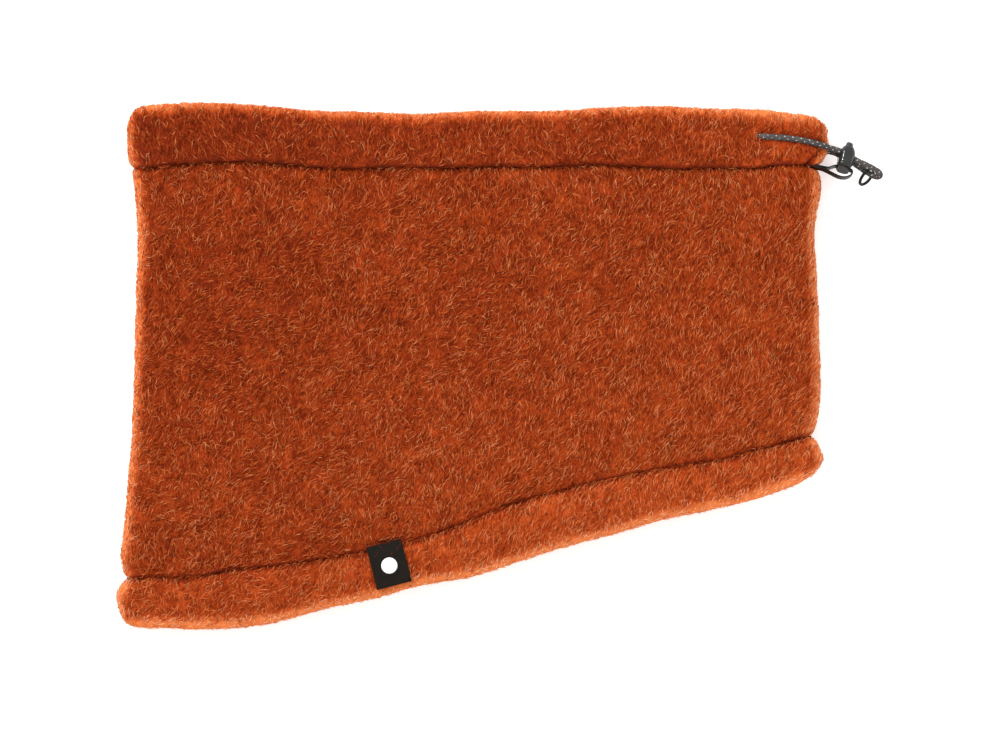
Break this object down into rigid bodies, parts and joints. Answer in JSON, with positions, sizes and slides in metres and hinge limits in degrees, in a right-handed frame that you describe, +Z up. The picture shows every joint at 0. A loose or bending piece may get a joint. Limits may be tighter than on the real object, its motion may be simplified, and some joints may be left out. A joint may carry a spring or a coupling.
{
  "type": "neck gaiter",
  "caption": "High pile fleece neck gaiter lying flat: a lined tube with a slanted hem, a drawcord collar, a sprung cord lock on a tether and a lifting label.",
  "frame": {"origin": "middle of the flat underside of the fleece body, on the surface it lies on", "axes": "+Z up from that surface, through the flattened tube; +X towards the cord lock; +Y towards the collar"},
  "size_m": [0.3065, 0.209, 0.0201],
  "materials": {
    "fleece": "brushed high pile",
    "lining": "brushed knit",
    "seam_thread": "spun polyester",
    "black_thread": "spun polyester",
    "braided_cord": "braided elastic",
    "lock_plastic": "satin moulded",
    "spring_steel": "drawn wire",
    "tether_nylon": "glossy flat braid",
    "loop_rubber": "matt",
    "label_satin": "woven damask",
    "label_white": "woven"
  },
  "bodies": {
    "gaiter": {"shell_body": "fleece", "lining_tube": "lining", "top_hem": "fleece", "bottom_hem": "fleece", "collar_seam_stitching": "seam_thread", "foot_seam_stitching": "seam_thread", "side_seam_stitching": "seam_thread", "front_buttonhole": "seam_thread", "back_buttonhole": "seam_thread", "drawcord_in_hem": "braided_cord", "cord_anchor_bartack": "black_thread", "drawcord_front_strand": "braided_cord", "drawcord_back_strand": "braided_cord", "tether_bartack": "black_thread", "label_stitching": "black_thread"},
    "cord_lock": {"lock_housing": "lock_plastic", "lock_spring": "spring_steel", "tether_tape": "tether_nylon"},
    "plunger": {"lock_plunger": "lock_plastic"},
    "cord_tail": {"drawcord_tail": "braided_cord"},
    "pull_loop": {"pull_loop": "loop_rubber"},
    "label": {"woven_label": "label_satin", "label_mark": "label_white"}
  },
  "joints": [
    {"name": "lock_swing", "type": "hinge", "parent": "gaiter", "child": "cord_lock", "pos_m": [0.1382, 0.0789, 0.0126], "axis": [0, 0, 1], "range_deg": [-12, 12]},
    {"name": "button_press", "type": "slide", "parent": "cord_lock", "child": "plunger", "axis": [0.2425, 0.8314, -0.5], "range_m": [-0.0016, 0], "stiffness_N_per_m": 600, "springref_m": 0.002, "deforming": ["lock_spring"]},
    {"name": "tail_pull", "type": "slide", "parent": "cord_lock", "child": "cord_tail", "axis": [0.87, -0.493, 0], "range_m": [0, 0.006]},
    {"name": "loop_swing", "type": "hinge", "parent": "cord_tail", "child": "pull_loop", "pos_m": [0.15861, 0.07684, 0.00758], "axis": [-0.87, 0.493, 0], "range_deg": [-45, 60]},
    {"name": "label_lift", "type": "hinge", "parent": "gaiter", "child": "label", "pos_m": [-0.0356, -0.0704, 0.0186], "axis": [-0.9677, -0.2521, 0], "range_deg": [0, 105]}
  ]
}
